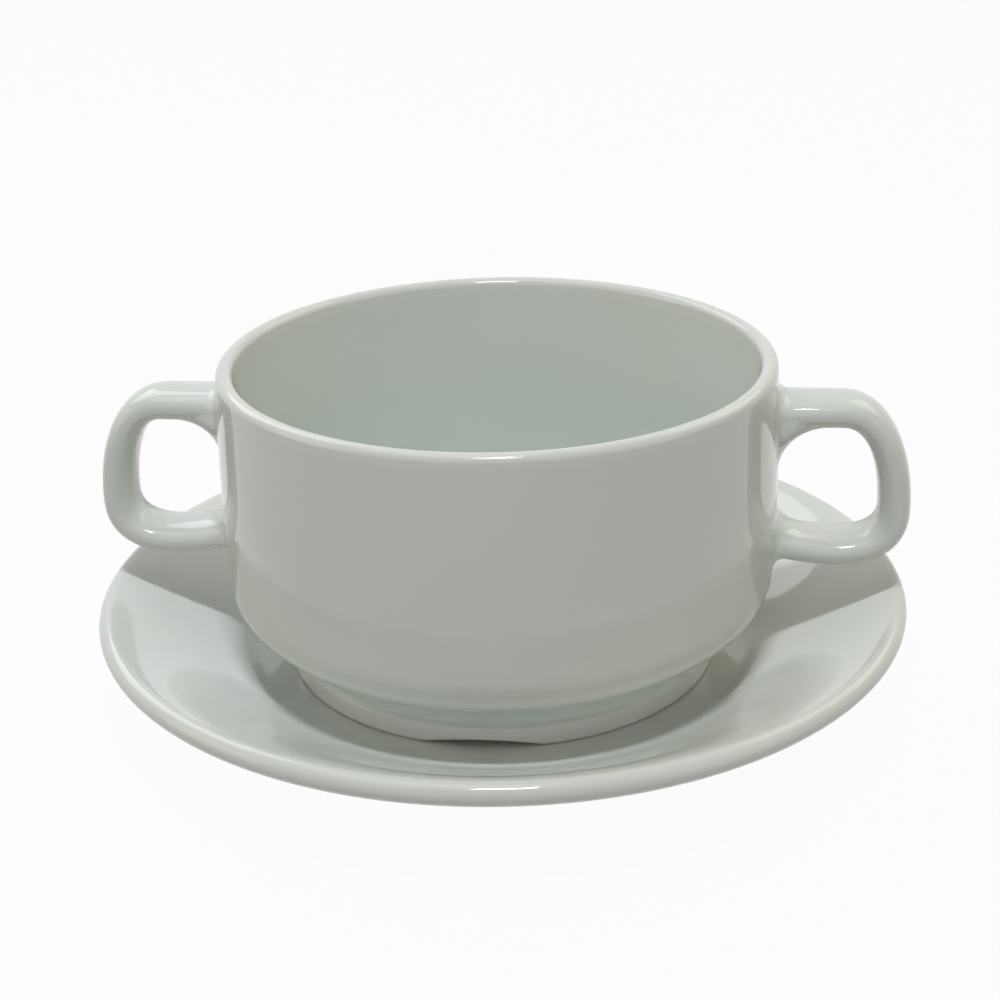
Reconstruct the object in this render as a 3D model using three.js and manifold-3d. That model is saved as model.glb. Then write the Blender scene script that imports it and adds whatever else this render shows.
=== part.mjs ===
// A two-handled stacking soup cup on its saucer, in glazed porcelain.
// Millimetres, +Z up, origin at the middle of the saucer's foot ring on the table, handles along X.

import * as THREE from 'three';
import { mergeVertices } from 'three/addons/utils/BufferGeometryUtils.js';
import Module from 'manifold-3d';

// Cup body
const RIM_RADIUS = 52.5;
const CUP_HEIGHT = 60.7;
const WALL = 4.0;
const LIP_WIDTH = 3;
const LIP_DEPTH = 6;
const LIP_ROUNDING = 1.5;
const THROAT_ROUNDING = 20;
const BELLY_SWELL = 0.9;
const BELLY_RADIUS = 420;
const KNEE_HEIGHT = 14;
const KNEE_SWELL = 0.3;
const KNEE_ROUNDING = 2.8;
const INNER_KNEE_ROUNDING = 9;
const CUP_FLOOR_THICKNESS = 5;
const INNER_HEEL_ROUNDING = 14;
const INNER_HEEL_INSET = 6;

// Cup foot: it drops into the mouth of the cup below with this step all round
const STACKING_STEP = 6.7;
const FOOT_BAND_HEIGHT = 3.8;
const FOOT_LAND_WIDTH = 3.6;
const FOOT_RECESS_DEPTH = 3;
const FOOT_RECESS_TAPER = 1.5;
const FOOT_ROUNDING = 0.7;
const NECK_INSET = 0.8;
const NECK_SLOPE = 0.8;
const CREASE_HEIGHT = 7.2;
const CREASE_ROUNDING = 1.2;
const DRAIN_NOTCH_WIDTH = 22;
const DRAIN_NOTCH_DEPTH = 1.5;

// Handles
const HANDLE_THICKNESS = 6.1;
const HANDLE_WIDTH = 12.4;
const HANDLE_SQUARENESS = 2.4;
const HANDLE_DROP = 10.1;
const HANDLE_RISE = 10.1;
const HANDLE_REACH = 22.8;
const TOP_BEND_RUN = 10.5;
const LOWER_BEND_RUN = 11;
const LOWER_BEND_RISE = 8.4;
const LOWER_BAR_FALL = 1.4;
const BEND_FULLNESS = 0.67;
const LEG_FULLNESS = 0.5;
const INNER_ROOT_RUN = 9;
const INNER_ROOT_RISE = 6;
const SIDE_ROOT_FILLET = 3.5;
const OUTER_ROOT_FILLET = 2.2;
const LUTING_GAP = 0.3;

// Saucer
const SAUCER_FLOOR_HEIGHT = 6.3;
const SAUCER_THICKNESS = 4.2;
const SEAT_MARGIN = 4.2;
const SAUCER_RADIUS = 78.5;
const SAUCER_HEIGHT = 20.8;
const WELL_ROUNDING = 14;
const SAUCER_FOOT_RADIUS = 44;
const SAUCER_FOOT_LAND = 3;
const SAUCER_FOOT_TAPER = 1.2;
const SAUCER_RECESS_DEPTH = 2.2;
const SAUCER_FOOT_ROUNDING = 0.8;

// Faceting
const TURN_SEGMENTS = 48;
const ARC_STEP = THREE.MathUtils.degToRad(20);
const FEWEST_ARC_STEPS = 2;
const LIP_STEPS = 10;
const NOTCH_SEGMENTS = 96;
const BEND_DIVISIONS = 24;
const HANDLE_RINGS = 40;
const HANDLE_SIDES = 16;
const ROOT_CROWDING = 0.7;

const FOOT_RADIUS = RIM_RADIUS - WALL - STACKING_STEP;
const KNEE_RADIUS = RIM_RADIUS + KNEE_SWELL;
const GLAZE = { color: 0xe6e8e7, roughness: 0.16, metalness: 0 };

const wasm = await Module();
wasm.setup();

// Points along the arc that rounds one corner, tangent to the sides from before and to after.
// The arc is limited so that it takes up at most half of either side.
function roundedCorner(before, corner, after, radius) {
  const back = before.clone().sub(corner);
  const ahead = after.clone().sub(corner);
  const halfAngle = back.angleTo(ahead) / 2;
  const longest = Math.min(back.length(), ahead.length()) / 2;
  const setback = Math.min(radius / Math.tan(halfAngle), longest);
  const sweep = Math.PI - 2 * halfAngle;
  const steps = Math.max(FEWEST_ARC_STEPS, Math.ceil(sweep / ARC_STEP));
  const start = corner.clone().addScaledVector(back.normalize(), setback);
  const end = corner.clone().addScaledVector(ahead.normalize(), setback);
  const bisector = back.clone().add(ahead).normalize();
  const centre = corner.clone().addScaledVector(bisector, setback / Math.cos(halfAngle));
  const turn = Math.sign(start.clone().sub(centre).cross(end.clone().sub(centre))) * sweep / steps;
  return Array.from({ length: steps + 1 }, (_, i) => start.clone().rotateAround(centre, i * turn));
}

// An outline through corners of the form [radius, height, rounding], each rounded by its own arc.
function roundedOutline(corners) {
  const at = corners.map(([r, z]) => new THREE.Vector2(r, z));
  return corners.flatMap(([, , rounding], i) => (
    rounding ? roundedCorner(at[i - 1], at[i], at[i + 1], rounding) : [at[i]]
  ));
}

// A body of revolution about Z from an outline that goes up the outside and comes back to the axis.
function turned(corners) {
  const body = new THREE.LatheGeometry(roundedOutline(corners), TURN_SEGMENTS);
  return body.rotateX(Math.PI / 2);
}

// The cup's outside from the knee to the lip, a slightly barrelled wall, grown outwards by a gap.
function wallCorners(gap) {
  const bellyHeight = (KNEE_HEIGHT + CUP_HEIGHT) / 2;
  return [
    [KNEE_RADIUS + gap, KNEE_HEIGHT, KNEE_ROUNDING],
    [RIM_RADIUS + BELLY_SWELL + gap, bellyHeight, BELLY_RADIUS],
  ];
}

// The hollow foot: recessed base, flat land, upright band and the drawn-in neck under the crease.
function footCorners() {
  const land = FOOT_RADIUS - FOOT_LAND_WIDTH;
  const neck = FOOT_RADIUS - NECK_INSET;
  return [
    [0, FOOT_RECESS_DEPTH],
    [land - FOOT_RECESS_TAPER, FOOT_RECESS_DEPTH, CREASE_ROUNDING],
    [land, 0, FOOT_ROUNDING],
    [FOOT_RADIUS, 0, FOOT_ROUNDING],
    [FOOT_RADIUS, FOOT_BAND_HEIGHT, FOOT_ROUNDING],
    [neck, FOOT_BAND_HEIGHT + NECK_SLOPE, FOOT_ROUNDING],
    [neck, CREASE_HEIGHT, CREASE_ROUNDING],
  ];
}

// The inside: a throat that opens towards the lip, a wall, an inner knee, a rounded heel and a flat floor.
function bowlCorners() {
  const mouth = RIM_RADIUS - WALL;
  const floorHeight = FOOT_RECESS_DEPTH + CUP_FLOOR_THICKNESS;
  const heel = FOOT_RADIUS - INNER_HEEL_INSET;
  return [
    [RIM_RADIUS - LIP_WIDTH, CUP_HEIGHT, LIP_ROUNDING],
    [mouth, CUP_HEIGHT - LIP_DEPTH, THROAT_ROUNDING],
    [mouth + KNEE_SWELL, KNEE_HEIGHT + WALL, INNER_KNEE_ROUNDING],
    [heel, floorHeight, INNER_HEEL_ROUNDING],
    [0, floorHeight],
  ];
}

// A round bar along Y that cuts the shallow drain notch into the front of the foot ring.
function notchCutter() {
  const halfWidth = DRAIN_NOTCH_WIDTH / 2;
  const radius = (halfWidth ** 2 + DRAIN_NOTCH_DEPTH ** 2) / (2 * DRAIN_NOTCH_DEPTH);
  const bar = new THREE.CylinderGeometry(radius, radius, FOOT_RADIUS, NOTCH_SEGMENTS);
  return bar.translate(0, -FOOT_RADIUS, DRAIN_NOTCH_DEPTH - radius);
}

function cupBody() {
  const uncut = turned([
    ...footCorners(),
    ...wallCorners(0),
    [RIM_RADIUS, CUP_HEIGHT, LIP_ROUNDING],
    ...bowlCorners(),
  ]);
  return cutBack(uncut, notchCutter());
}

// The space that the cup's outside takes up, with the luting gap around it.
function luteTrimmer() {
  return turned([
    [0, KNEE_HEIGHT - KNEE_ROUNDING],
    [KNEE_RADIUS + LUTING_GAP, KNEE_HEIGHT - KNEE_ROUNDING],
    ...wallCorners(LUTING_GAP),
    [RIM_RADIUS + LUTING_GAP, CUP_HEIGHT],
    [0, CUP_HEIGHT],
  ]);
}

// The middle line of a handle in the XZ plane: out along the top bar, down a bowed leg that is widest
// below its middle, and back along the lower bar. Both ends start in the thickness of the wall.
function handleLine() {
  const root = RIM_RADIUS - WALL / 2;
  const top = CUP_HEIGHT - HANDLE_DROP;
  const lower = KNEE_HEIGHT + HANDLE_RISE;
  const bottom = lower - LOWER_BAR_FALL;
  const leg = RIM_RADIUS + HANDLE_REACH;
  const widest = bottom + LOWER_BEND_RISE;
  const slack = 1 - BEND_FULLNESS;
  const line = new THREE.Path();
  line.moveTo(root, top);
  line.lineTo(leg - TOP_BEND_RUN, top);
  line.bezierCurveTo(
    leg - TOP_BEND_RUN * slack, top,
    leg, widest + (top - widest) * LEG_FULLNESS,
    leg, widest,
  );
  line.bezierCurveTo(
    leg, widest - LOWER_BEND_RISE * BEND_FULLNESS,
    leg - LOWER_BEND_RUN * slack, bottom,
    leg - LOWER_BEND_RUN, bottom,
  );
  line.lineTo(root, lower);
  return new THREE.Path(line.getPoints(BEND_DIVISIONS));
}

// One point of the section, a superellipse between an oval and a rounded rectangle, with its normal.
function sectionPoint(side) {
  const angle = side / HANDLE_SIDES * 2 * Math.PI;
  const power = (value, exponent) => Math.sign(value) * Math.abs(value) ** exponent;
  const x = power(Math.cos(angle), 2 / HANDLE_SQUARENESS);
  const y = power(Math.sin(angle), 2 / HANDLE_SQUARENESS);
  const normal = new THREE.Vector2(
    power(x, HANDLE_SQUARENESS - 1) / HANDLE_THICKNESS,
    power(y, HANDLE_SQUARENESS - 1) / HANDLE_WIDTH,
  );
  const point = new THREE.Vector2(x * HANDLE_THICKNESS / 2, y * HANDLE_WIDTH / 2);
  return { point, normal: normal.normalize() };
}

// How far a root spreads at a distance from the wall: a quarter of an oval that is large under the
// bars, inside the loop, smaller at their sides and smallest outside the loop.
function rootSpread(distance, outwards) {
  const endRun = outwards > 0 ? OUTER_ROOT_FILLET : INNER_ROOT_RUN;
  const endRise = outwards > 0 ? OUTER_ROOT_FILLET : INNER_ROOT_RISE;
  const run = THREE.MathUtils.lerp(SIDE_ROOT_FILLET, endRun, outwards ** 2);
  const rise = THREE.MathUtils.lerp(SIDE_ROOT_FILLET, endRise, outwards ** 2);
  const inside = THREE.MathUtils.clamp(1 - distance / run, 0, 1);
  return rise * (1 - Math.sqrt(1 - inside ** 2));
}

// Ring number as a fraction of the middle line, with the rings crowded towards the two roots.
function ringFraction(ring) {
  const even = ring / HANDLE_RINGS;
  return even - ROOT_CROWDING * Math.sin(2 * Math.PI * even) / (2 * Math.PI);
}

// One ring of the loft: the section square to the middle line, spread near the wall.
function handleRing(line, ring) {
  const fraction = ringFraction(ring);
  const middle = line.getPointAt(fraction);
  const along = line.getTangentAt(fraction);
  const distance = Math.max(0, middle.x - RIM_RADIUS - BELLY_SWELL);
  return Array.from({ length: HANDLE_SIDES }, (_, side) => {
    const { point, normal } = sectionPoint(side);
    point.addScaledVector(normal, rootSpread(distance, normal.x));
    return [middle.x - along.y * point.x, point.y, middle.y + along.x * point.x];
  }).flat();
}

// The section carried along the middle line, closed by a fan at each end.
function handleLoft() {
  const line = handleLine();
  const rings = Array.from({ length: HANDLE_RINGS + 1 }, (_, ring) => handleRing(line, ring));
  const index = [];
  for (let ring = 0; ring < HANDLE_RINGS; ring += 1) {
    for (let side = 0; side < HANDLE_SIDES; side += 1) {
      const a = ring * HANDLE_SIDES + side;
      const b = ring * HANDLE_SIDES + (side + 1) % HANDLE_SIDES;
      index.push(a, a + HANDLE_SIDES, b, b, a + HANDLE_SIDES, b + HANDLE_SIDES);
    }
  }
  const last = HANDLE_RINGS * HANDLE_SIDES;
  for (let side = 1; side < HANDLE_SIDES - 1; side += 1) {
    index.push(0, side, side + 1, last, last + side + 1, last + side);
  }
  const loft = new THREE.BufferGeometry();
  loft.setAttribute('position', new THREE.Float32BufferAttribute(rings.flat(), 3));
  loft.setIndex(index);
  return loft;
}

function solid(geometry) {
  const bare = geometry.clone();
  bare.deleteAttribute('normal');
  bare.deleteAttribute('uv');
  const merged = mergeVertices(bare);
  return new wasm.Manifold(new wasm.Mesh({
    numProp: 3,
    vertProperties: merged.attributes.position.array,
    triVerts: Uint32Array.from(merged.index.array),
  }));
}

function cutBack(body, cutter) {
  const left = solid(body).subtract(solid(cutter)).getMesh();
  const geometry = new THREE.BufferGeometry();
  geometry.setAttribute('position', new THREE.BufferAttribute(left.vertProperties, 3));
  geometry.setIndex(new THREE.BufferAttribute(left.triVerts, 1));
  return geometry;
}

// A handle cut back to the cup's outside, so that its roots follow the wall.
function handle() {
  return cutBack(handleLoft(), luteTrimmer());
}

// The saucer: a foot ring under a flat seat for the cup, and an evenly thick border that rises as a
// cone from the seat to a fully rounded lip.
function saucerBody() {
  const seat = FOOT_RADIUS + SEAT_MARGIN;
  const lip = SAUCER_THICKNESS / 2;
  const middle = new THREE.Vector2(SAUCER_RADIUS - lip, SAUCER_HEIGHT - lip);
  const toMiddle = middle.clone().sub(new THREE.Vector2(seat, SAUCER_FLOOR_HEIGHT));
  const slope = toMiddle.angle() + Math.asin(lip / toMiddle.length());
  const quarter = Math.PI / 2;
  const edge = new THREE.EllipseCurve(middle.x, middle.y, lip, lip, slope - quarter, slope + quarter);
  const lipPoints = edge.getPoints(LIP_STEPS);
  const recess = SAUCER_FLOOR_HEIGHT - SAUCER_THICKNESS;
  const belowSeat = lipPoints[0].x - (lipPoints[0].y - recess) / Math.tan(slope);
  const land = SAUCER_FOOT_RADIUS - SAUCER_FOOT_LAND;
  return turned([
    [0, SAUCER_RECESS_DEPTH],
    [land - SAUCER_FOOT_TAPER, SAUCER_RECESS_DEPTH, SAUCER_FOOT_ROUNDING],
    [land, 0, SAUCER_FOOT_ROUNDING],
    [SAUCER_FOOT_RADIUS, 0, SAUCER_FOOT_ROUNDING],
    [SAUCER_FOOT_RADIUS + SAUCER_FOOT_TAPER, recess, SAUCER_FOOT_ROUNDING],
    [belowSeat, recess, WELL_ROUNDING],
    ...lipPoints.map((point) => point.toArray()),
    [seat, SAUCER_FLOOR_HEIGHT, WELL_ROUNDING],
    [0, SAUCER_FLOOR_HEIGHT],
  ]);
}

function piece(name, geometry) {
  const mesh = new THREE.Mesh(geometry, new THREE.MeshStandardMaterial(GLAZE));
  mesh.name = name;
  return mesh;
}

const cup = new THREE.Group();
cup.position.z = SAUCER_FLOOR_HEIGHT;
const leftHandle = piece('left_handle', handle());
leftHandle.rotation.z = Math.PI;
cup.add(piece('cup_body', cupBody()), leftHandle, piece('right_handle', handle()));

const soupCupAndSaucer = new THREE.Group();
soupCupAndSaucer.add(piece('saucer', saucerBody()), cup);

export default soupCupAndSaucer;
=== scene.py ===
"""A two-handled stacking soup cup on its saucer, in white glazed porcelain.

The shape functions work in millimetres, with z up from the table, and the meshes are in metres.
"""

import bpy
import numpy as np
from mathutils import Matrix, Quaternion, Vector


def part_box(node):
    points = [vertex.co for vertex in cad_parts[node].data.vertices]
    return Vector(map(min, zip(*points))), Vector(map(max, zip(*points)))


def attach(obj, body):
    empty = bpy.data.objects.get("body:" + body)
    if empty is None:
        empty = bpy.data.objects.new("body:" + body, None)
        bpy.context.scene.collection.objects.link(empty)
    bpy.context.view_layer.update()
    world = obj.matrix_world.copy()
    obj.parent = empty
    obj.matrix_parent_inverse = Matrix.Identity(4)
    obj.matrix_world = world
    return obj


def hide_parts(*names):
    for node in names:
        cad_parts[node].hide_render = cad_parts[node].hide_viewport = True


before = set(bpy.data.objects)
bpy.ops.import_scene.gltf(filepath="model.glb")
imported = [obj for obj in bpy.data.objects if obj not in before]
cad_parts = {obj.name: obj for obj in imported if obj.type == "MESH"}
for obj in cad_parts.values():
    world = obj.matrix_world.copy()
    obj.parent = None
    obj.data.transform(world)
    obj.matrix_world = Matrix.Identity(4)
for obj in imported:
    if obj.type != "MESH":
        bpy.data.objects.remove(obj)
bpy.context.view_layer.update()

MM = 0.001


def node_box(name):
    """Lowest and highest corner of a CAD node, in millimetres."""
    low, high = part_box(name)
    return np.array(low) / MM, np.array(high) / MM


# Sizes that the frame gives
SAUCER_RADIUS = node_box("saucer")[1][0]
SAUCER_HEIGHT = node_box("saucer")[1][2]
SEAT_HEIGHT = node_box("cup_body")[0][2]
RIM_HEIGHT = node_box("cup_body")[1][2]
HANDLE_OUTSIDE = node_box("right_handle")[1][0]

# Cup body, with heights above its foot
RIM_RADIUS = 52.5
CUP_HEIGHT = RIM_HEIGHT - SEAT_HEIGHT
WALL = 4.0
LIP_WIDTH = 3.0
LIP_DEPTH = 16.0
LIP_ROUNDING = 1.5
THROAT_ROUNDING = 150.0
THROAT_LEAN = 1.0
BELLY_RADIUS = 53.4
BELLY_ROUNDING = 420.0
KNEE_RADIUS = 52.8
KNEE_HEIGHT = 14.0
KNEE_ROUNDING = 9.0
INNER_KNEE_ROUNDING = 9.0
FLOOR_HEIGHT = 8.0
HEEL_RADIUS = 35.8
HEEL_ROUNDING = 14.0

# Cup foot
FOOT_RADIUS = 41.8
FOOT_LAND = 38.2
FOOT_BAND_HEIGHT = 3.8
FOOT_RECESS = 3.0
FOOT_TAPER = 1.5
FOOT_ROUNDING = 0.7
NECK_RADIUS = 41.0
NECK_HEIGHT = 4.6
CREASE_HEIGHT = 7.2
CREASE_ROUNDING = 2.2
NOTCH_WIDTH = 22.0
NOTCH_DEPTH = 1.5
NOTCH_SOFTNESS = 0.15
NOTCH_FADE_HEIGHT = 2.8

# Handles, with heights above the cup's foot
HANDLE_THICKNESS = 6.1
HANDLE_WIDTH = 12.4
HANDLE_SQUARENESS = 2.4
TOP_BAR = CUP_HEIGHT - 10.1
LOWER_BAR = KNEE_HEIGHT + 10.1
LOWER_BAR_FALL = 1.4
LEG_RADIUS = HANDLE_OUTSIDE - HANDLE_THICKNESS / 2
TOP_BEND_RUN = 10.5
LOWER_BEND_RUN = 11.0
LOWER_BEND_RISE = 8.4
BEND_FULLNESS = 0.67
LEG_FULLNESS = 0.5
TOP_INNER_ROOT = (10.0, 8.5)
LOWER_INNER_ROOT = (5.0, 3.8)
SIDE_ROOT_FILLET = 3.5
OUTER_ROOT_FILLET = 2.2
ROOT_WRAP = 9.0
SKIRT_WIDTH = 0.6
SKIRT_SINK = 0.05
PLUG_SINK = 0.8

# Saucer
SAUCER_THICKNESS = 4.2
SEAT_RADIUS = FOOT_RADIUS + 5.7
WELL_RUN = 5.0
BORDER_RUN = 9.0
LIP_SLOPE = np.radians(20.0)
SAUCER_FOOT_RADIUS = 44.0
SAUCER_FOOT_LAND = 41.0
SAUCER_FOOT_TAPER = 1.2
SAUCER_RECESS = 2.2
SAUCER_FOOT_ROUNDING = 0.8

# Glaze, and the painted shade inside the cup
POOL_REACH = 1.5
POOL_RUN = 2.5
ROOT_POOL = 3.0
EDGE_THINNING = 0.35
WIPED_HEIGHT = 0.45
# Painted shade inside the cup: lighter just below the lip, darker deeper down, up to the deepest share
SHADE_DOWN_RATE = 2.0
LIP_SHARE = 0.25
DEEPEST_SHADE = 0.75

# Fineness of the surfaces
TURN_STEPS = 300
ARC_STEP = np.radians(6.0)
FEWEST_ARC_STEPS = 6
SIDE_STEP = 1.4
SHORTEST_STEP = 1e-6
BORDER_STEPS = 64
HANDLE_STEPS = 168
HANDLE_SIDES = 72
ROOT_CROWDING = 0.85

# Porcelain colours
COOL_WHITE = (0.767, 0.788, 0.770, 1.0)
WARM_WHITE = (0.785, 0.795, 0.760, 1.0)
# Pooled and thin glaze; inside the cup they also paint shade deeper down and light just below the lip
POOLED_GLAZE_AND_PAINTED_SHADE = (0.695, 0.748, 0.716, 1.0)
THIN_GLAZE_AND_PAINTED_LIGHT = (0.800, 0.800, 0.775, 1.0)
BARE_BODY = (0.70, 0.68, 0.63, 1.0)

# Porcelain textures: scales per metre, heights in metres, and the spread of the white and of the gloss
DRIFT_SCALE = 28.0
DRIFT_SPREAD = (-0.6, 1.6)
SMUDGE_SCALE = 60.0
GLAZE_ROUGHNESS = (0.03, 0.08)
BODY_ROUGHNESS = 0.78
GLAZE_IOR = 1.5
PEEL_SCALE = 260.0
PEEL_HEIGHT = 6e-6
GRAIN_SCALE = 2600.0
GRAIN_HEIGHT = 4e-5

# Camera, which looks at the set as the photograph does
AIM = Vector((0.0, 0.0, 0.037))
CAMERA_DISTANCE = 0.350
CAMERA_AZIMUTH = 6.0
CAMERA_ELEVATION = 23.1
CAMERA_ROLL = -1.4
LENS = 64.8
SENSOR = 36.0
NEAR_LIMIT = 0.01

# Studio
WHITE = (1.0, 1.0, 1.0, 1.0)
FLOOR_SIZE = 6.0
FLOOR_PAINT = (0.6, 0.6, 0.6, 1.0)
FLOOR_ROUGHNESS = 0.6
FLOOR_WHITENESS = 0.96
ROOM_COLOUR = (1.0, 0.98, 0.92, 1.0)
ROOM_STRENGTH = 0.03
DAYLIGHT = (0.94, 0.99, 1.0)
LAMPLIGHT = (1.0, 0.94, 0.63)
KEY_SIZE = (0.20, 0.06)
KEY_DISTANCE = 1.0
SOFT_SIZE = (0.7, 0.7)
SOFT_DISTANCE = 1.25

# Lamps: name, azimuth, elevation, distance, size, power in watts, colour
LAMPS = [
    ("key", 5.0, 69.0, KEY_DISTANCE, KEY_SIZE, 4.6, DAYLIGHT),
    ("overhead", 270.0, 80.0, SOFT_DISTANCE, SOFT_SIZE, 1.8, DAYLIGHT),
    ("back_left", 225.0, 40.0, SOFT_DISTANCE, SOFT_SIZE, 3.0, DAYLIGHT),
    ("back_right", 135.0, 40.0, SOFT_DISTANCE, SOFT_SIZE, 2.4, LAMPLIGHT),
    ("low_left", 285.0, 18.0, SOFT_DISTANCE, SOFT_SIZE, 1.7, LAMPLIGHT),
    ("low_right", 65.0, 15.0, SOFT_DISTANCE, SOFT_SIZE, 1.0, LAMPLIGHT),
]


def unit(vector):
    """A vector of length 1 in the same direction."""
    return vector / np.linalg.norm(vector)


def path_length(points):
    """Length along a path up to each of its points."""
    return np.concatenate([[0.0], np.cumsum(np.linalg.norm(np.diff(points, axis=0), axis=1))])


def rounded_corner(before, corner, after, radius):
    """Points on the arc of a radius that touches both sides of a corner: the arc starts a setback
    of radius / tan(half angle) before the corner, at most half of either side, and turns about the
    point on the bisector at setback / cos(half angle)."""
    back = unit(before - corner)
    ahead = unit(after - corner)
    half = np.arccos(np.clip(back @ ahead, -1.0, 1.0)) / 2
    room = min(np.linalg.norm(before - corner), np.linalg.norm(after - corner)) / 2
    setback = min(radius / np.tan(half), room)
    centre = corner + unit(back + ahead) * setback / np.cos(half)
    start = corner + back * setback - centre
    end = corner + ahead * setback - centre
    sweep = np.pi - 2 * half
    steps = max(FEWEST_ARC_STEPS, int(np.ceil(sweep / ARC_STEP)))
    turn = np.sign(start[0] * end[1] - start[1] * end[0]) * np.linspace(0.0, sweep, steps + 1)
    x = start[0] * np.cos(turn) - start[1] * np.sin(turn)
    y = start[0] * np.sin(turn) + start[1] * np.cos(turn)
    return centre + np.stack([x, y], axis=-1)


def rounded_outline(corners):
    """An outline through corners (radius, height, rounding), with an arc at each rounded corner and
    extra points along the straight stretches, so that no stretch is longer than a side step."""
    at = np.array([corner[:2] for corner in corners], float)
    runs = []
    for i, corner in enumerate(corners):
        rounding = corner[2]
        runs.append(rounded_corner(at[i - 1], at[i], at[i + 1], rounding) if rounding else at[i:i + 1])
    points = np.concatenate(runs)
    along = path_length(points)
    keep = np.concatenate([[True], np.diff(along) > SHORTEST_STEP])
    points, along = points[keep], along[keep]
    gaps = np.diff(along)
    parts = np.maximum(1, np.ceil(gaps / SIDE_STEP)).astype(int)
    starts = np.repeat(along[:-1], parts)
    within = np.arange(parts.sum()) - np.repeat(np.cumsum(parts) - parts, parts)
    fine = np.append(starts + within * np.repeat(gaps / parts, parts), along[-1])
    return np.stack([np.interp(fine, along, points[:, axis]) for axis in (0, 1)], axis=-1)


def bezier(start, first, second, end, steps):
    """Points of a cubic curve from start to end, drawn by its two control points."""
    t = np.linspace(0.0, 1.0, steps)[:, None]
    s = 1 - t
    weights = np.concatenate([s**3, 3 * s**2 * t, 3 * s * t**2, t**3], axis=1)
    return weights @ np.array([start, first, second, end])


def cup_wall_corners():
    """Corners of the cup's outside between the underside and the lip."""
    return [
        (KNEE_RADIUS, KNEE_HEIGHT, KNEE_ROUNDING),
        (BELLY_RADIUS, (KNEE_HEIGHT + CUP_HEIGHT) / 2, BELLY_ROUNDING),
    ]


def cup_outline():
    """The cup's section from the middle of its base, over the foot, wall and lip, to its floor, with
    heights above its foot."""
    mouth = RIM_RADIUS - WALL
    return rounded_outline([
        (0.0, FOOT_RECESS, 0.0),
        (FOOT_LAND - FOOT_TAPER, FOOT_RECESS, CREASE_ROUNDING),
        (FOOT_LAND, 0.0, FOOT_ROUNDING),
        (FOOT_RADIUS, 0.0, FOOT_ROUNDING),
        (FOOT_RADIUS, FOOT_BAND_HEIGHT, FOOT_ROUNDING),
        (NECK_RADIUS, NECK_HEIGHT, FOOT_ROUNDING),
        (NECK_RADIUS, CREASE_HEIGHT, CREASE_ROUNDING),
        *cup_wall_corners(),
        (RIM_RADIUS, CUP_HEIGHT, LIP_ROUNDING),
        (RIM_RADIUS - LIP_WIDTH, CUP_HEIGHT, LIP_ROUNDING),
        (mouth - THROAT_LEAN, CUP_HEIGHT - LIP_DEPTH, THROAT_ROUNDING),
        (mouth - THROAT_LEAN, KNEE_HEIGHT + WALL, INNER_KNEE_ROUNDING),
        (HEEL_RADIUS, FLOOR_HEIGHT, HEEL_ROUNDING),
        (0.0, FLOOR_HEIGHT, 0.0),
    ])


def saucer_outline():
    """The saucer's section from the middle of its base, over the foot and the underside of the border,
    round the lip and down to the seat. The border is a cubic curve that leaves the seat level, is
    steepest near its middle and eases off to the lip's circle, which it meets in a tangent. Its
    underside is one thickness away, square to it."""
    lip = SAUCER_THICKNESS / 2
    middle = np.array([SAUCER_RADIUS - lip, SAUCER_HEIGHT - lip])
    turn = LIP_SLOPE + np.linspace(-np.pi / 2, np.pi / 2, int(np.pi / ARC_STEP) + 1)
    edge = middle + lip * np.stack([np.cos(turn), np.sin(turn)], axis=-1)
    ease = BORDER_RUN * np.array([np.cos(LIP_SLOPE), np.sin(LIP_SLOPE)])
    border = bezier((SEAT_RADIUS, SEAT_HEIGHT), (SEAT_RADIUS + WELL_RUN, SEAT_HEIGHT),
                    edge[-1] - ease, edge[-1], BORDER_STEPS)
    along = np.gradient(border, axis=0)
    along /= np.linalg.norm(along, axis=1, keepdims=True)
    under = border + SAUCER_THICKNESS * np.stack([along[:, 1], -along[:, 0]], axis=-1)
    sweep = np.concatenate([under[:-1], edge, border[-2::-1]])
    recess = SEAT_HEIGHT - SAUCER_THICKNESS
    return rounded_outline([
        (0.0, SAUCER_RECESS, 0.0),
        (SAUCER_FOOT_LAND - SAUCER_FOOT_TAPER, SAUCER_RECESS, SAUCER_FOOT_ROUNDING),
        (SAUCER_FOOT_LAND, 0.0, SAUCER_FOOT_ROUNDING),
        (SAUCER_FOOT_RADIUS, 0.0, SAUCER_FOOT_ROUNDING),
        (SAUCER_FOOT_RADIUS + SAUCER_FOOT_TAPER, recess, SAUCER_FOOT_ROUNDING),
        *[(radius, height, 0.0) for radius, height in sweep],
        (0.0, SEAT_HEIGHT, 0.0),
    ])


def glaze_along(outline):
    """How deep the glaze lies along an outline, from -1 (thin over an edge) to 1 (pooled in a hollow):
    minus the outline's turning per millimetre, averaged by a bell curve along its length, times a run."""
    along = path_length(outline)
    heading = np.unwrap(np.arctan2(np.gradient(outline[:, 1]), np.gradient(outline[:, 0])))
    turning = np.gradient(heading, along)
    weight = np.exp(-(((along[:, None] - along) / POOL_REACH) ** 2)) * np.gradient(along)
    return np.clip(-POOL_RUN * (weight @ turning) / weight.sum(axis=1), -1.0, 1.0)


def painted_shade_inside(outline):
    """Painted shade inside the cup, given as glaze depth: lighter just below the lip and darker deeper down
    the wall, in proportion to the depth below the rim, up to its deepest, and 0 outside."""
    height = outline[:, 1]
    inside = np.arange(len(height)) > np.argmax(height)
    depth = (CUP_HEIGHT - height) / (CUP_HEIGHT - FLOOR_HEIGHT)
    return np.where(inside, np.minimum(SHADE_DOWN_RATE * (depth - LIP_SHARE), DEEPEST_SHADE), 0.0)


def wiped_along(outline):
    """Where the glaze is wiped off the foot ring: 1 on the land, fading to 0 up its rounded edges."""
    return np.clip(2 * (1 - outline[:, 1] / WIPED_HEIGHT), 0.0, 1.0)


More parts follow.
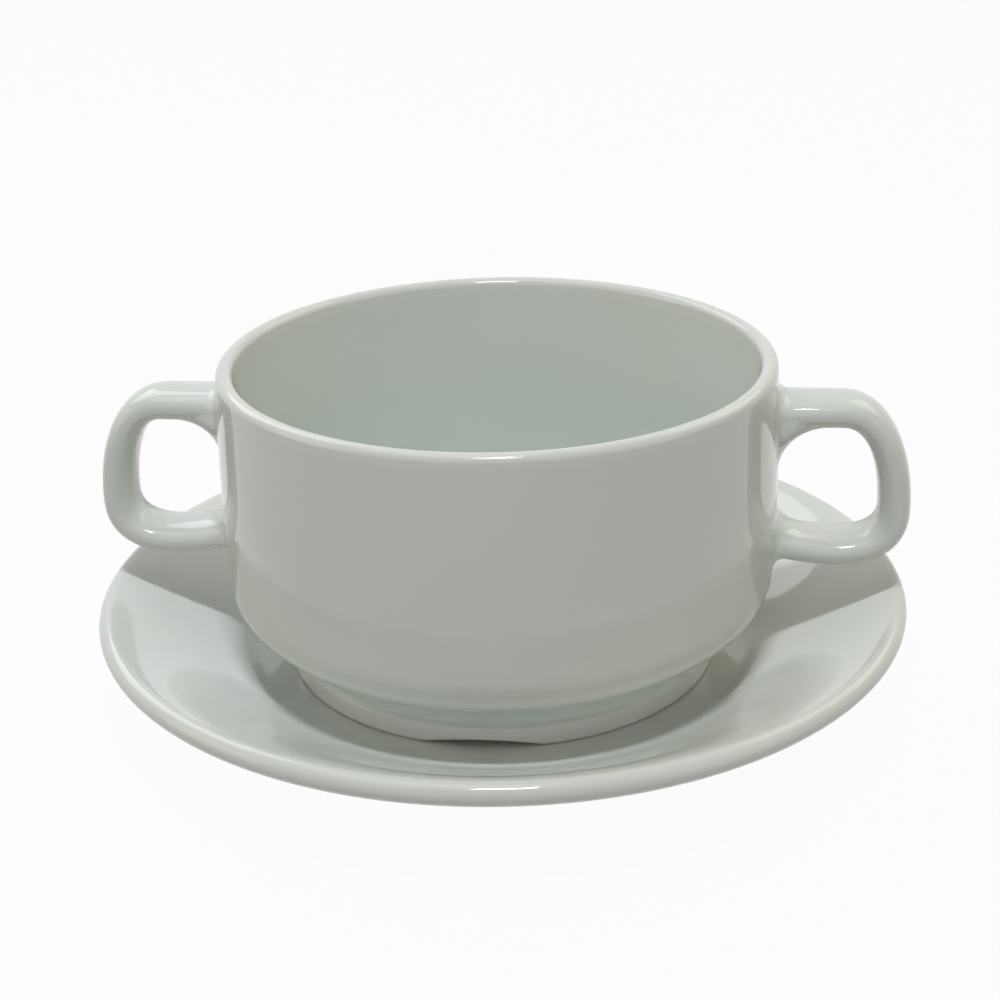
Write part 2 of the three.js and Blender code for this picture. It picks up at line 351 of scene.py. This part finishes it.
def ring_faces(rings, sides):
    """Quads between rings of points that close on themselves, and a fan at each end to the last two
    points of the mesh."""
    index = np.arange(rings * sides).reshape(rings, sides)
    after = np.roll(index, -1, axis=1)
    quads = np.stack([index[:-1], after[:-1], after[1:], index[1:]], axis=-1).reshape(-1, 4)
    first, last = rings * sides, rings * sides + 1
    bottom = np.stack([np.full(sides, first), after[0], index[0]], axis=-1)
    top = np.stack([np.full(sides, last), index[-1], after[-1]], axis=-1)
    return quads.tolist() + bottom.tolist() + top.tolist()


def turned(outline):
    """A closed surface of revolution: each point (radius, height) of the outline between its two ends
    goes round the axis as radius * (cos, sin) of the angle, and each end is one point on the axis."""
    angle = np.arange(TURN_STEPS) / TURN_STEPS * 2 * np.pi
    rings = outline[1:-1]
    x = np.outer(rings[:, 0], np.cos(angle))
    y = np.outer(rings[:, 0], np.sin(angle))
    z = np.repeat(rings[:, 1:], TURN_STEPS, axis=1)
    poles = [[0.0, 0.0, outline[0, 1]], [0.0, 0.0, outline[-1, 1]]]
    vertices = np.concatenate([np.stack([x, y, z], axis=-1).reshape(-1, 3), poles])
    return vertices, ring_faces(len(rings), TURN_STEPS)


def round_the_turn(along):
    """A value along an outline, given to every point of its surface of revolution."""
    return np.concatenate([np.repeat(along[1:-1], TURN_STEPS), along[[0, -1]]])


def saucer_surface():
    """The saucer's outline turned about the axis."""
    outline = saucer_outline()
    vertices, faces = turned(outline)
    return vertices, faces, round_the_turn(glaze_along(outline)), round_the_turn(wiped_along(outline))


def notched(vertices):
    """The cup with its drain notch: on the front half the land rises to the top of a round bar that lies
    across it, by bar = sqrt(radius^2 - x^2) + depth - radius where that is above 0, with a soft edge,
    and the foot above it is squeezed up to the height where the notch fades out."""
    x, y, z = vertices.T
    radius = ((NOTCH_WIDTH / 2) ** 2 + NOTCH_DEPTH**2) / (2 * NOTCH_DEPTH)
    bar = np.sqrt(np.maximum(radius**2 - x**2, 0.0)) + NOTCH_DEPTH - radius
    lift = np.where(y < 0, (bar + np.sqrt(bar**2 + NOTCH_SOFTNESS**2)) / 2, 0.0)
    squeeze = np.clip(1 - z / NOTCH_FADE_HEIGHT, 0.0, 1.0)
    return np.stack([x, y, z + lift * squeeze], axis=-1)


def cup_surface():
    """The cup's outline turned about the axis, notched, and stood on the saucer's seat."""
    outline = cup_outline()
    vertices, faces = turned(outline)
    vertices = notched(vertices) + np.array([0.0, 0.0, SEAT_HEIGHT])
    # The glaze depth also carries painted shade inside the cup: darker deeper down, lighter just below the
    # lip
    glaze = np.clip(glaze_along(outline) + painted_shade_inside(outline), -1.0, 1.0)
    return vertices, faces, round_the_turn(glaze), round_the_turn(wiped_along(outline))


def wall_radius(height):
    """The cup's outside radius at a height above its foot, between the knee and the lip."""
    wall = rounded_outline([
        (KNEE_RADIUS, 0.0, 0.0),
        *cup_wall_corners(),
        (RIM_RADIUS, CUP_HEIGHT, 0.0),
    ])
    return np.interp(height, wall[:, 1], wall[:, 0])


def handle_line():
    """The middle line of a handle as (radius, height): out along the top bar, down a bowed leg that is
    widest below its middle, and back along the lower bar, which climbs a little to the wall. It begins
    and ends on the wall, and its points crowd towards both ends."""
    bottom = LOWER_BAR - LOWER_BAR_FALL
    widest = bottom + LOWER_BEND_RISE
    slack = 1 - BEND_FULLNESS
    top_end = LEG_RADIUS - TOP_BEND_RUN
    bar_end = LEG_RADIUS - LOWER_BEND_RUN
    top_root, lower_root = wall_radius(np.array([TOP_BAR, LOWER_BAR]))
    third = (bar_end - lower_root) / 3
    upper = bezier((top_end, TOP_BAR), (LEG_RADIUS - TOP_BEND_RUN * slack, TOP_BAR),
                   (LEG_RADIUS, widest + (TOP_BAR - widest) * LEG_FULLNESS), (LEG_RADIUS, widest),
                   HANDLE_STEPS)
    lower = bezier((LEG_RADIUS, widest), (LEG_RADIUS, widest - LOWER_BEND_RISE * BEND_FULLNESS),
                   (LEG_RADIUS - LOWER_BEND_RUN * slack, bottom), (bar_end, bottom), HANDLE_STEPS)
    bar = bezier((bar_end, bottom), (bar_end - third, bottom),
                 (lower_root + third, LOWER_BAR - LOWER_BAR_FALL / 2), (lower_root, LOWER_BAR), HANDLE_STEPS)
    line = np.concatenate([[[top_root, TOP_BAR]], upper, lower[1:], bar[1:]])
    along = path_length(line)
    even = np.linspace(0.0, 1.0, HANDLE_STEPS + 1)
    crowded = even - ROOT_CROWDING * np.sin(2 * np.pi * even) / (2 * np.pi)
    return np.stack([np.interp(crowded * along[-1], along, line[:, axis]) for axis in (0, 1)], axis=-1)


def handle_section():
    """Points of the section and their normals, as (outwards from the loop, sideways): a superellipse
    between an oval and a rounded rectangle."""
    angle = np.arange(HANDLE_SIDES) / HANDLE_SIDES * 2 * np.pi
    circle = np.stack([np.cos(angle), np.sin(angle)], axis=-1)
    half = np.array([HANDLE_THICKNESS, HANDLE_WIDTH]) / 2
    shape = np.sign(circle) * np.abs(circle) ** (2 / HANDLE_SQUARENESS)
    normal = np.sign(shape) * np.abs(shape) ** (HANDLE_SQUARENESS - 1) / half
    return shape * half, normal / np.linalg.norm(normal, axis=-1, keepdims=True)


def root_spread(distance, outwards, inner):
    """How far a root spreads at a distance from the wall: a quarter of an oval that meets the wall as a
    tangent, with the inner run and rise inside the loop, smaller at the sides of the bars and smallest
    outside the loop."""
    end_run = np.where(outwards > 0, OUTER_ROOT_FILLET, inner[:, :1])
    end_rise = np.where(outwards > 0, OUTER_ROOT_FILLET, inner[:, 1:])
    run = SIDE_ROOT_FILLET + (end_run - SIDE_ROOT_FILLET) * outwards**2
    rise = SIDE_ROOT_FILLET + (end_rise - SIDE_ROOT_FILLET) * outwards**2
    inside = np.clip(1 - distance / run, 0.0, 1.0)
    return rise * (1 - np.sqrt(1 - inside**2))


def handle_surface(side):
    """The section carried along the middle line, square to it. Near the wall it spreads by the root
    fillet and slides along the bar until its ring lies on the round wall. Past that ring a thin skirt
    runs on under the glaze of the wall, so that no edge shows, and a plug closes the end inside it."""
    line = handle_line()
    along = np.gradient(line, axis=0)
    along /= np.linalg.norm(along, axis=1, keepdims=True)
    length = path_length(line)
    distance = np.minimum(length, length[-1] - length)
    top_half = (length < length[-1] / 2)[:, None]
    inner = np.where(top_half, TOP_INNER_ROOT, LOWER_INNER_ROOT)
    hidden = ((2, 2), (0, 0))
    line = np.pad(line, hidden, mode="edge")
    along = np.pad(along, hidden, mode="edge")
    inner = np.pad(inner, hidden, mode="edge")
    distance = np.pad(distance, 2)[:, None]
    sink = np.pad(np.zeros(len(line) - 4), 2)
    sink[[0, -1]] = PLUG_SINK
    sink[[1, -2]] = SKIRT_SINK
    widen = np.where(sink > 0, SKIRT_WIDTH, 0.0)[:, None]
    section, normal = handle_section()
    spread = section + normal * (root_spread(distance, normal[:, 0], inner) + widen)[..., None]
    radius = line[:, :1] - along[:, 1:] * spread[..., 0]
    height = line[:, 1:] + along[:, :1] * spread[..., 0]
    sideways = spread[..., 1]
    on_wall = np.sqrt(wall_radius(height) ** 2 - sideways**2) + line[:, :1] - wall_radius(line[:, 1:])
    wrap = np.clip(1 - distance / ROOT_WRAP, 0.0, 1.0) ** 2
    radius = radius + (on_wall - radius) * wrap - sink[:, None]
    rings = np.stack([radius, sideways, height + SEAT_HEIGHT], axis=-1)
    vertices = np.concatenate([rings.reshape(-1, 3), rings[[0, -1]].mean(axis=1)])
    vertices = vertices * np.array([side, side, 1.0])
    pooled = np.exp(-distance / ROOT_POOL) - EDGE_THINNING * np.abs(normal[:, 1])
    glaze = np.append(pooled.ravel(), [1.0, 1.0])
    return vertices, ring_faces(len(rings), HANDLE_SIDES), glaze, np.zeros(len(vertices))


def point_value(mesh, name, values):
    """Gives every point of a mesh a number that the material reads by name."""
    mesh.attributes.new(name, "FLOAT", "POINT").data.foreach_set("value", values.astype(np.float32))


def porcelain_piece(name, surface, body, node, material):
    """One piece of the set, smooth shaded, in place of its CAD node. Its points carry how deep the glaze
    lies on them, with the painted shade inside the cup added to it, and where it is wiped off."""
    vertices, faces, glaze, wiped = surface
    mesh = bpy.data.meshes.new(name)
    mesh.from_pydata((vertices * MM).tolist(), [], faces)
    mesh.polygons.foreach_set("use_smooth", np.ones(len(mesh.polygons), bool))
    point_value(mesh, "glaze_depth_and_painted_shade", glaze)
    point_value(mesh, "wiped_foot", wiped)
    mesh.materials.append(material)
    mesh.update()
    piece = bpy.data.objects.new(name, mesh)
    bpy.context.scene.collection.objects.link(piece)
    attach(piece, body)
    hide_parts(node)


def new_material(name):
    """A material with nodes, its nodes and its links."""
    material = bpy.data.materials.new(name)
    material.use_nodes = True
    return material, material.node_tree.nodes, material.node_tree.links


class NodeMaker:
    """Adds nodes to a material, each from the outputs that feed it."""

    def __init__(self, nodes, links):
        self.nodes = nodes
        self.links = links

    def feed(self, socket, value):
        if isinstance(value, bpy.types.NodeSocket):
            self.links.new(value, socket)
        else:
            socket.default_value = value

    def math(self, operation, first, second=0.0, clamp=False):
        node = self.nodes.new("ShaderNodeMath")
        node.operation = operation
        node.use_clamp = clamp
        self.feed(node.inputs[0], first)
        self.feed(node.inputs[1], second)
        return node.outputs[0]

    def mix_colour(self, share, first, second):
        node = self.nodes.new("ShaderNodeMix")
        node.data_type = "RGBA"
        self.feed(node.inputs["Factor"], share)
        colours = [socket for socket in node.inputs if socket.type == "RGBA"]
        self.feed(colours[0], first)
        self.feed(colours[1], second)
        return next(socket for socket in node.outputs if socket.type == "RGBA")

    def between(self, share, low, high):
        node = self.nodes.new("ShaderNodeMapRange")
        self.feed(node.inputs["Value"], share)
        self.feed(node.inputs["To Min"], low)
        self.feed(node.inputs["To Max"], high)
        return node.outputs["Result"]

    def noise(self, place, scale, detail):
        node = self.nodes.new("ShaderNodeTexNoise")
        self.feed(node.inputs["Vector"], place)
        node.inputs["Scale"].default_value = scale
        node.inputs["Detail"].default_value = detail
        return node.outputs["Fac"]

    def point_value(self, name):
        node = self.nodes.new("ShaderNodeAttribute")
        node.attribute_name = name
        return node.outputs["Fac"]

    def place(self):
        return self.nodes.new("ShaderNodeTexCoord").outputs["Object"]


def glazed_porcelain():
    """White porcelain under a clear glaze. Its white drifts slowly over a piece, turns a little greener
    where the glaze has pooled and warmer where it is thin over an edge. Inside the cup the same colours
    are painted shade and light: darker and greener deeper down, lighter just below the lip. The glaze
    has a faint orange peel, and the wiped foot rings show the dry, grainy body."""
    material, nodes, links = new_material("glazed_porcelain")
    make = NodeMaker(nodes, links)
    place = make.place()
    # How deep the glaze lies, with the painted shade inside the cup added to it
    depth = make.point_value("glaze_depth_and_painted_shade")
    wiped = make.point_value("wiped_foot")
    drift = make.between(make.noise(place, DRIFT_SCALE, 3.0), *DRIFT_SPREAD)
    colour = make.mix_colour(drift, COOL_WHITE, WARM_WHITE)
    # Pooled glaze, and deep inside the cup painted shade: darker and greener
    colour = make.mix_colour(make.math("MULTIPLY", depth, 1.0, clamp=True), colour, POOLED_GLAZE_AND_PAINTED_SHADE)
    # Glaze thin over an edge, and just below the lip inside the cup painted light: lighter
    colour = make.mix_colour(make.math("MULTIPLY", depth, -1.0, clamp=True), colour, THIN_GLAZE_AND_PAINTED_LIGHT)
    colour = make.mix_colour(wiped, colour, BARE_BODY)
    smudge = make.between(make.noise(place, SMUDGE_SCALE, 4.0), *GLAZE_ROUGHNESS)
    roughness = make.math("MAXIMUM", smudge, make.math("MULTIPLY", wiped, BODY_ROUGHNESS))
    peel = make.math("MULTIPLY", make.noise(place, PEEL_SCALE, 2.0), PEEL_HEIGHT)
    grain = make.math("MULTIPLY", make.noise(place, GRAIN_SCALE, 2.0), GRAIN_HEIGHT)
    relief = make.math("ADD", peel, make.math("MULTIPLY", grain, wiped))
    bump = nodes.new("ShaderNodeBump")
    bump.inputs["Distance"].default_value = 1.0
    links.new(relief, bump.inputs["Height"])
    shader = nodes["Principled BSDF"]
    links.new(colour, shader.inputs["Base Color"])
    links.new(roughness, shader.inputs["Roughness"])
    links.new(bump.outputs["Normal"], shader.inputs["Normal"])
    shader.inputs["IOR"].default_value = GLAZE_IOR
    return material


def seen_directly(make, share):
    """A share for rays from the camera and for mirrored or refracted rays, and 0 for other light."""
    path = make.nodes.new("ShaderNodeLightPath").outputs
    mirrored = make.math("MAXIMUM", path["Is Glossy Ray"], path["Is Transmission Ray"])
    return make.math("MULTIPLY", make.math("MAXIMUM", path["Is Camera Ray"], mirrored), share)


def floor_material():
    """A pale floor that is seen as white, with the object's soft shadow left on it."""
    material, nodes, links = new_material("pale_floor")
    paint = nodes["Principled BSDF"]
    paint.inputs["Base Color"].default_value = FLOOR_PAINT
    paint.inputs["Roughness"].default_value = FLOOR_ROUGHNESS
    white = nodes.new("ShaderNodeEmission")
    mix = nodes.new("ShaderNodeMixShader")
    links.new(paint.outputs[0], mix.inputs[1])
    links.new(white.outputs[0], mix.inputs[2])
    links.new(seen_directly(NodeMaker(nodes, links), FLOOR_WHITENESS), mix.inputs[0])
    links.new(mix.outputs[0], nodes["Material Output"].inputs["Surface"])
    return material


def make_floor():
    """One large square under the saucer."""
    half = FLOOR_SIZE / 2
    mesh = bpy.data.meshes.new("floor")
    mesh.from_pydata([(-half, -half, 0), (half, -half, 0), (half, half, 0), (-half, half, 0)], [],
                     [(0, 1, 2, 3)])
    mesh.materials.append(floor_material())
    floor = bpy.data.objects.new("floor", mesh)
    bpy.context.scene.collection.objects.link(floor)


def make_world():
    """A white backdrop for what is seen directly or mirrored, and a dim even room for other light."""
    world = bpy.data.worlds.new("studio")
    bpy.context.scene.world = world
    world.use_nodes = True
    nodes, links = world.node_tree.nodes, world.node_tree.links
    room = nodes["Background"]
    room.inputs["Color"].default_value = ROOM_COLOUR
    room.inputs["Strength"].default_value = ROOM_STRENGTH
    white = nodes.new("ShaderNodeBackground")
    white.inputs["Color"].default_value = WHITE
    mix = nodes.new("ShaderNodeMixShader")
    links.new(seen_directly(NodeMaker(nodes, links), 1.0), mix.inputs[0])
    links.new(room.outputs[0], mix.inputs[1])
    links.new(white.outputs[0], mix.inputs[2])
    links.new(mix.outputs[0], nodes["World Output"].inputs["Surface"])


def direction(azimuth, elevation):
    """The way from the cup to a place at an azimuth from the front towards the right, and an elevation."""
    a, e = np.radians([azimuth, elevation])
    return Vector((np.sin(a) * np.cos(e), -np.cos(a) * np.cos(e), np.sin(e)))


def lamp(name, azimuth, elevation, distance, size, power, colour):
    """A rectangular lamp that faces the middle of the cup."""
    light = bpy.data.lights.new(name, "AREA")
    light.shape = "RECTANGLE"
    light.size, light.size_y = size
    light.energy = power
    light.color = colour
    holder = bpy.data.objects.new(name, light)
    away = direction(azimuth, elevation)
    holder.location = AIM + away * distance
    holder.rotation_mode = "QUATERNION"
    holder.rotation_quaternion = (-away).to_track_quat("-Z", "Y")
    bpy.context.scene.collection.objects.link(holder)


def make_camera():
    """The camera on a line from the aim, rolled about that line."""
    back = direction(CAMERA_AZIMUTH, CAMERA_ELEVATION)
    roll = Quaternion((0, 0, 1), np.radians(CAMERA_ROLL))
    camera = bpy.data.objects.new("camera", bpy.data.cameras.new("camera"))
    camera.data.lens = LENS
    camera.data.sensor_width = SENSOR
    camera.data.clip_start = NEAR_LIMIT
    camera.location = AIM + back * CAMERA_DISTANCE
    camera.rotation_mode = "QUATERNION"
    camera.rotation_quaternion = (-back).to_track_quat("-Z", "Y") @ roll
    bpy.context.scene.collection.objects.link(camera)
    bpy.context.scene.camera = camera


porcelain = glazed_porcelain()
porcelain_piece("saucer_porcelain", saucer_surface(), "saucer", "saucer", porcelain)
porcelain_piece("cup_porcelain", cup_surface(), "cup", "cup_body", porcelain)
porcelain_piece("right_handle_porcelain", handle_surface(1.0), "cup", "right_handle", porcelain)
porcelain_piece("left_handle_porcelain", handle_surface(-1.0), "cup", "left_handle", porcelain)

make_floor()
make_world()
for settings in LAMPS:
    lamp(*settings)
make_camera()
bpy.context.scene.view_settings.view_transform = "Standard"
